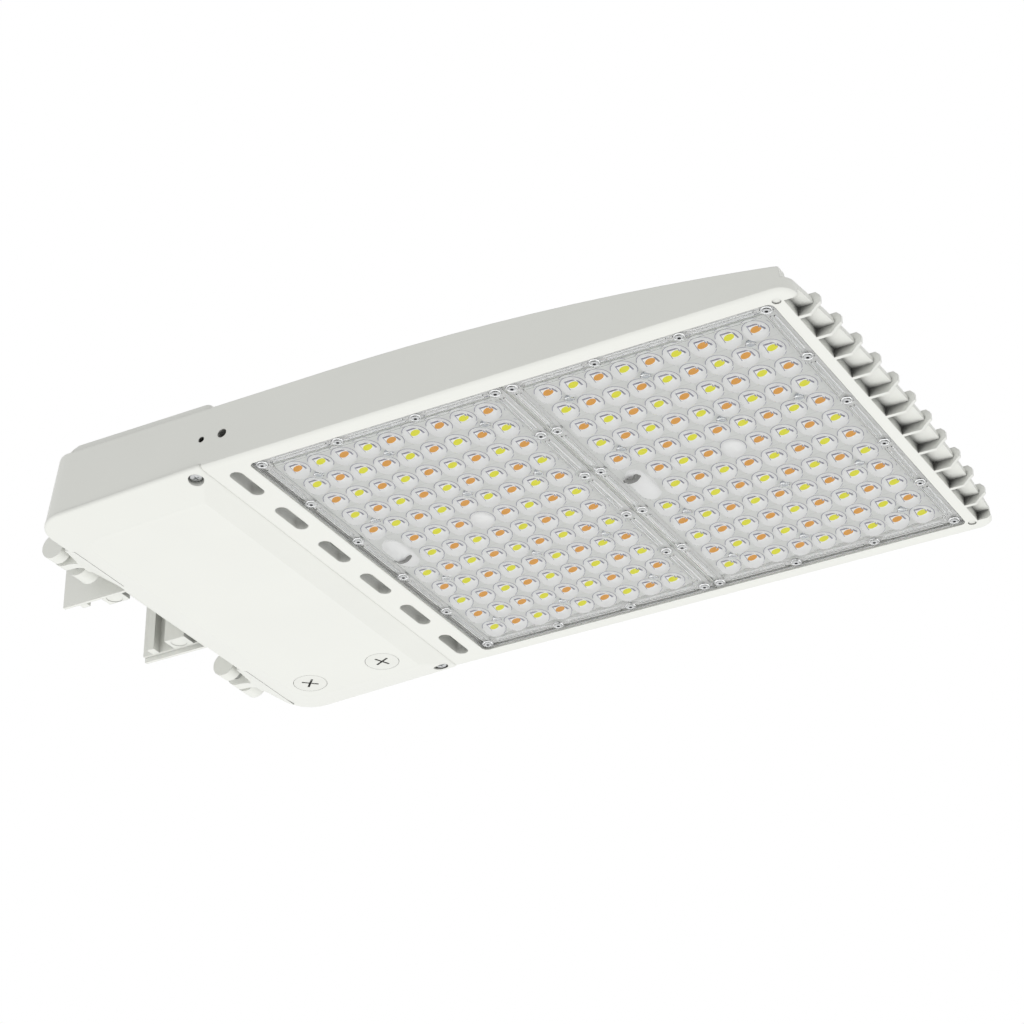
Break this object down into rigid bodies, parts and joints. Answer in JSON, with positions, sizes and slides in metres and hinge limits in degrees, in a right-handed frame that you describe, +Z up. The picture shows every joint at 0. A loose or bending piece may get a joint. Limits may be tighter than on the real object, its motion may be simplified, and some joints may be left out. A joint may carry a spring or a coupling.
{
  "type": "led area light",
  "caption": "Pole-mounted LED area light: finned off-white housing, clear domed lens plates over LED boards, hinged driver-bay door with selector plugs and a bolt-on pole arm.",
  "frame": {"origin": "midway between the two pole bolts, on the arm's face that meets the pole", "axes": "+X from the pole face to the nose, +Y across the light to the side with the selector plugs, +Z up"},
  "size_m": [0.5969, 0.312, 0.0803],
  "materials": {
    "coated_aluminium": "satin off-white powder coat",
    "clear_polycarbonate": "gloss clear moulding",
    "white_board": "satin white solder mask on an aluminium core",
    "cool_led": "satin yellow phosphor in a white package",
    "warm_led": "satin orange phosphor in a white package",
    "stainless_steel": "satin",
    "zinc_steel": "satin zinc plating",
    "white_silicone": "matte",
    "grey_silicone": "matte",
    "black_rubber": "matte",
    "white_plastic": "satin",
    "black_plastic": "matte",
    "driver_case": "satin",
    "grey_cable": "matte"
  },
  "bodies": {
    "housing": {"main_housing": "coated_aluminium", "mounting_arm": "coated_aluminium", "arm_gasket": "black_rubber", "arm_bolts": "stainless_steel", "supply_grommet": "black_rubber", "hinge_pin_near": "stainless_steel", "hinge_pin_far": "stainless_steel", "led_driver": "driver_case", "driver_screws": "zinc_steel", "surge_protector": "black_plastic", "terminal_block": "white_plastic", "terminal_screws": "zinc_steel", "input_leads": "grey_cable", "selector_box": "black_plastic", "ground_screw": "zinc_steel", "led_board_rear": "white_board", "leds_cool_rear": "cool_led", "leds_warm_rear": "warm_led", "board_screws_rear": "zinc_steel", "lens_gasket_rear": "white_silicone", "lens_plate_rear": "clear_polycarbonate", "lens_screws_rear": "stainless_steel", "led_lead_rear": "grey_cable", "lead_gland_rear": "black_plastic", "lead_grommet_rear": "black_rubber", "led_board_front": "white_board", "leds_cool_front": "cool_led", "leds_warm_front": "warm_led", "board_screws_front": "zinc_steel", "lens_gasket_front": "white_silicone", "lens_plate_front": "clear_polycarbonate", "lens_screws_front": "stainless_steel", "led_lead_front": "grey_cable", "lead_gland_front": "black_plastic", "lead_grommet_front": "black_rubber"},
    "door": {"driver_door": "coated_aluminium", "door_gasket": "white_silicone", "power_plug_seal": "grey_silicone", "colour_plug_seal": "grey_silicone"},
    "near_screw": {"door_screw_near": "stainless_steel", "screw_retainer_near": "stainless_steel"},
    "far_screw": {"door_screw_far": "stainless_steel", "screw_retainer_far": "stainless_steel"},
    "power_cover": {"power_plug": "white_plastic"},
    "colour_cover": {"colour_plug": "white_plastic"},
    "power_knob": {"power_selector": "black_plastic"},
    "colour_knob": {"colour_selector": "black_plastic"}
  },
  "joints": [
    {"name": "door_swing", "type": "hinge", "parent": "housing", "child": "door", "pos_m": [0.0319, 0, -0.0458], "axis": [0, 1, 0], "range_deg": [0, 95]},
    {"name": "near_screw_turn", "type": "hinge", "parent": "door", "child": "near_screw", "pos_m": [0.1785, -0.147, -0.05731], "axis": [-0.0349, 0, 0.9994], "continuous": true},
    {"name": "far_screw_turn", "type": "hinge", "parent": "door", "child": "far_screw", "pos_m": [0.1785, 0.147, -0.05731], "axis": [-0.0349, 0, 0.9994], "continuous": true},
    {"name": "power_cover_turn", "type": "hinge", "parent": "door", "child": "power_cover", "pos_m": [0.0947, 0.11, -0.06024], "axis": [-0.0349, 0, 0.9994], "continuous": true},
    {"name": "colour_cover_turn", "type": "hinge", "parent": "door", "child": "colour_cover", "pos_m": [0.1534, 0.11, -0.05819], "axis": [-0.0349, 0, 0.9994], "continuous": true},
    {"name": "power_knob_turn", "type": "hinge", "parent": "housing", "child": "power_knob", "pos_m": [0.0947, 0.11, -0.05], "axis": [0, 0, 1], "range_deg": [0, 90]},
    {"name": "colour_knob_turn", "type": "hinge", "parent": "housing", "child": "colour_knob", "pos_m": [0.1534, 0.11, -0.05], "axis": [0, 0, 1], "range_deg": [0, 60]}
  ]
}
